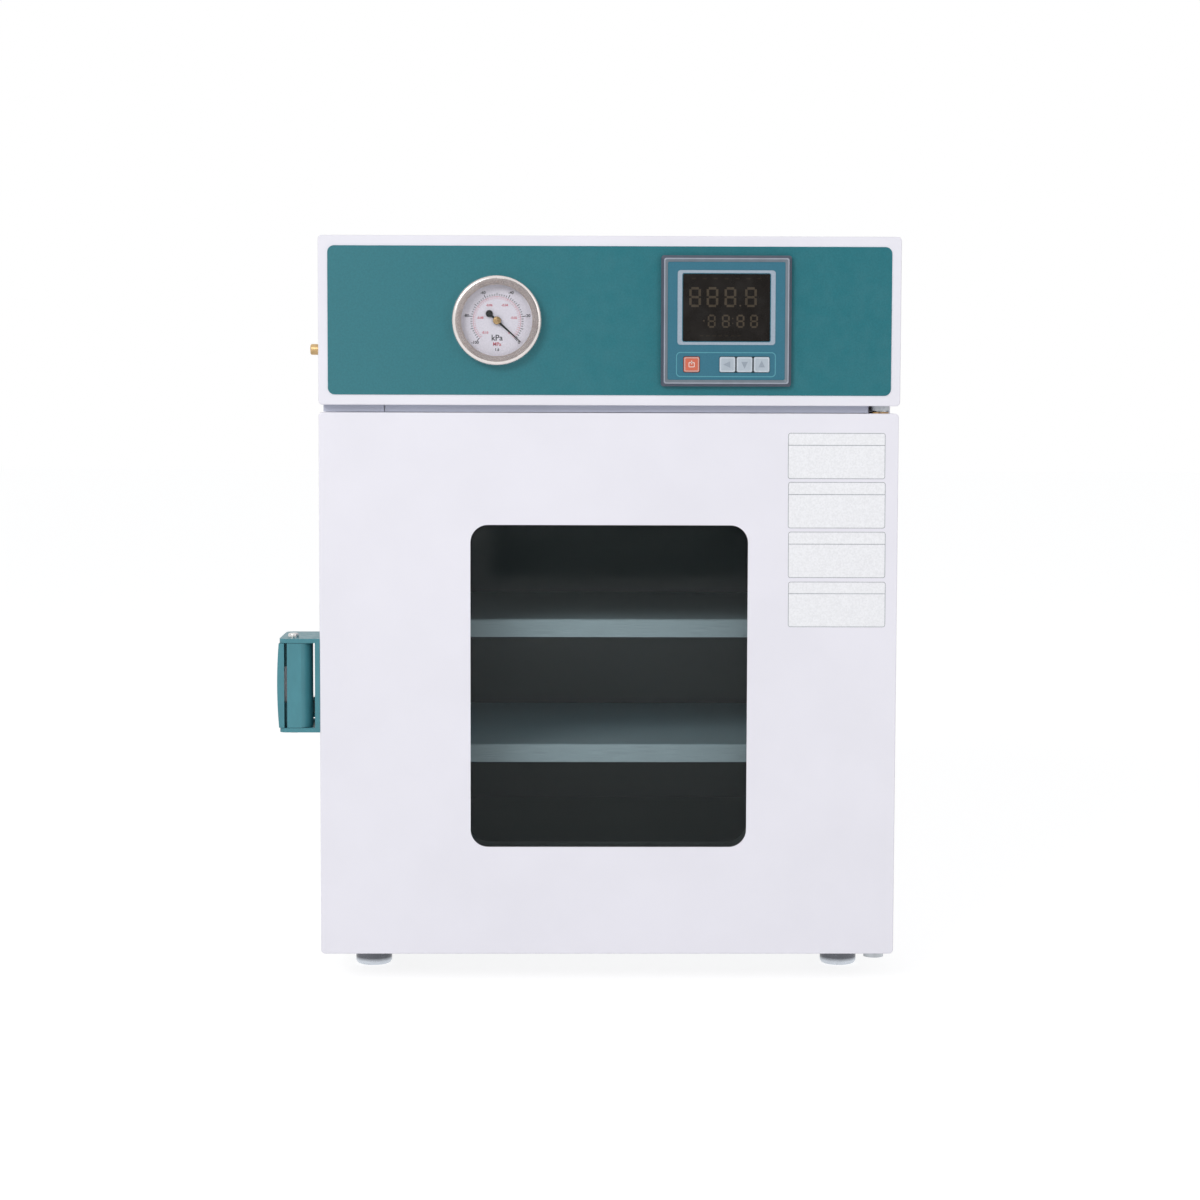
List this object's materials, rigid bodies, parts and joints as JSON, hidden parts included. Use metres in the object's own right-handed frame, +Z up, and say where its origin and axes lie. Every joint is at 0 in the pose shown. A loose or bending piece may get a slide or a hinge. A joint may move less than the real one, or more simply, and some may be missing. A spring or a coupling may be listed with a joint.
{
  "type": "vacuum_oven",
  "caption": "Benchtop vacuum oven: white cabinet, side-hinged door with window and side latch, teal control panel with dial gauge and digital controller, heated chamber with shelves.",
  "frame": {"origin": "middle of the footprint on the table, under the feet", "axes": "X runs to the right as seen from the front, Y runs back, Z is up"},
  "size_m": [0.4934, 0.454, 0.559],
  "materials": {
    "white_paint": "satin powder coat",
    "teal_overlay": "printed matt film",
    "teal_plastic": "moulded, satin",
    "tinted_glass": "smoked, flat",
    "clear_glass": "clear, flat",
    "stainless": "brushed",
    "galvanised": "dull zinc",
    "plated": "polished",
    "aluminium": "plain",
    "brass": "turned",
    "copper": "drawn copper",
    "bronze": "sintered",
    "black_rubber": "matt",
    "silicone": "matt",
    "heater_mat": "matt",
    "mineral_wool": "fibrous",
    "grey_plastic": "satin",
    "face_teal": "printed matt film",
    "black_plastic": "fine grain",
    "display_dark": "glossy filter",
    "key_red": "soft key",
    "key_grey": "soft key",
    "dial_white": "matt",
    "pointer_black": "matt"
  },
  "bodies": {
    "cabinet": {"outer_shell": "white_paint", "control_housing": "white_paint", "control_overlay": "teal_overlay", "base_pan": "galvanised", "front_frame": "white_paint", "rear_panel": "white_paint", "electronics_tray": "galvanised", "vacuum_chamber": "stainless", "door_gasket": "silicone", "chamber_supports": "galvanised", "chamber_insulation": "mineral_wool", "heater_pads": "heater_mat", "temperature_probe": "stainless", "shelf_rails": "stainless", "hinge_brackets": "galvanised", "hinge_pins": "stainless", "strike_bracket": "plated", "controller_bezel": "grey_plastic", "controller_face": "face_teal", "controller_display": "display_dark", "controller_case": "black_plastic", "gauge_bezel": "plated", "gauge_lens": "clear_glass", "gauge_case": "plated", "gauge_dial": "dial_white", "gauge_stem": "brass", "vacuum_manifold": "brass", "hose_nozzle": "brass", "vacuum_tubes": "copper", "vent_valve_body": "brass", "relay_heat_sink": "aluminium", "solid_state_relay": "black_plastic", "power_inlet": "black_plastic", "feet": "plated", "foot_pads": "black_rubber", "cabinet_screws": "plated"},
    "door": {"door_shell": "white_paint", "door_inner_panel": "white_paint", "door_insulation": "mineral_wool", "window_pane": "tinted_glass", "window_liner": "stainless", "chamber_glass": "clear_glass", "glass_clamps": "stainless", "hinge_bushes": "bronze", "latch_base": "teal_plastic", "latch_pin": "plated", "door_screws": "plated"},
    "lever": {"latch_lever": "teal_plastic", "latch_claw": "plated", "latch_spring": "stainless", "claw_screws": "plated"},
    "roller": {"strike_roller": "stainless"},
    "pointer": {"gauge_pointer": "pointer_black"},
    "power_button": {"power_key": "key_red"},
    "shift_button": {"shift_key": "key_grey"},
    "down_button": {"down_key": "key_grey"},
    "up_button": {"up_key": "key_grey"},
    "vent_knob": {"vent_valve_knob": "black_plastic"},
    "top_shelf": {"upper_shelf": "aluminium"},
    "bottom_shelf": {"lower_shelf": "aluminium"}
  },
  "joints": [
    {"name": "door_hinge", "type": "hinge", "parent": "cabinet", "child": "door", "pos_m": [0.201, -0.205, 0.2265], "axis": [0, 0, 1], "range_deg": [0, 120]},
    {"name": "latch_lever_turn", "type": "hinge", "parent": "door", "child": "lever", "pos_m": [-0.2355, -0.207, 0.226], "axis": [0, 0, 1], "range_deg": [0, 35], "stiffness_Nm_per_rad": 0.08},
    {"name": "strike_roller_spin", "type": "hinge", "parent": "cabinet", "child": "roller", "pos_m": [-0.227, -0.147, 0.202], "axis": [0, 0, 1], "continuous": true},
    {"name": "gauge_pointer_turn", "type": "hinge", "parent": "cabinet", "child": "pointer", "pos_m": [-0.0833, -0.217, 0.49675], "axis": [0, -1, 0], "range_deg": [0, 267], "stiffness_Nm_per_rad": 0.0002},
    {"name": "power_key_press", "type": "slide", "parent": "cabinet", "child": "power_button", "axis": [0, 1, 0], "range_m": [0, 0.0006], "stiffness_N_per_m": 500},
    {"name": "shift_key_press", "type": "slide", "parent": "cabinet", "child": "shift_button", "axis": [0, 1, 0], "range_m": [0, 0.0006], "stiffness_N_per_m": 500},
    {"name": "down_key_press", "type": "slide", "parent": "cabinet", "child": "down_button", "axis": [0, 1, 0], "range_m": [0, 0.0006], "stiffness_N_per_m": 500},
    {"name": "up_key_press", "type": "slide", "parent": "cabinet", "child": "up_button", "axis": [0, 1, 0], "range_m": [0, 0.0006], "stiffness_N_per_m": 500},
    {"name": "vent_knob_turn", "type": "hinge", "parent": "cabinet", "child": "vent_knob", "pos_m": [0.22, 0.11, 0.478], "axis": [1, 0, 0], "range_deg": [0, 360]},
    {"name": "top_shelf_slide", "type": "slide", "parent": "cabinet", "child": "top_shelf", "axis": [0, -1, 0], "range_m": [0, 0.015]},
    {"name": "bottom_shelf_slide", "type": "slide", "parent": "cabinet", "child": "bottom_shelf", "axis": [0, -1, 0], "range_m": [0, 0.015]}
  ]
}
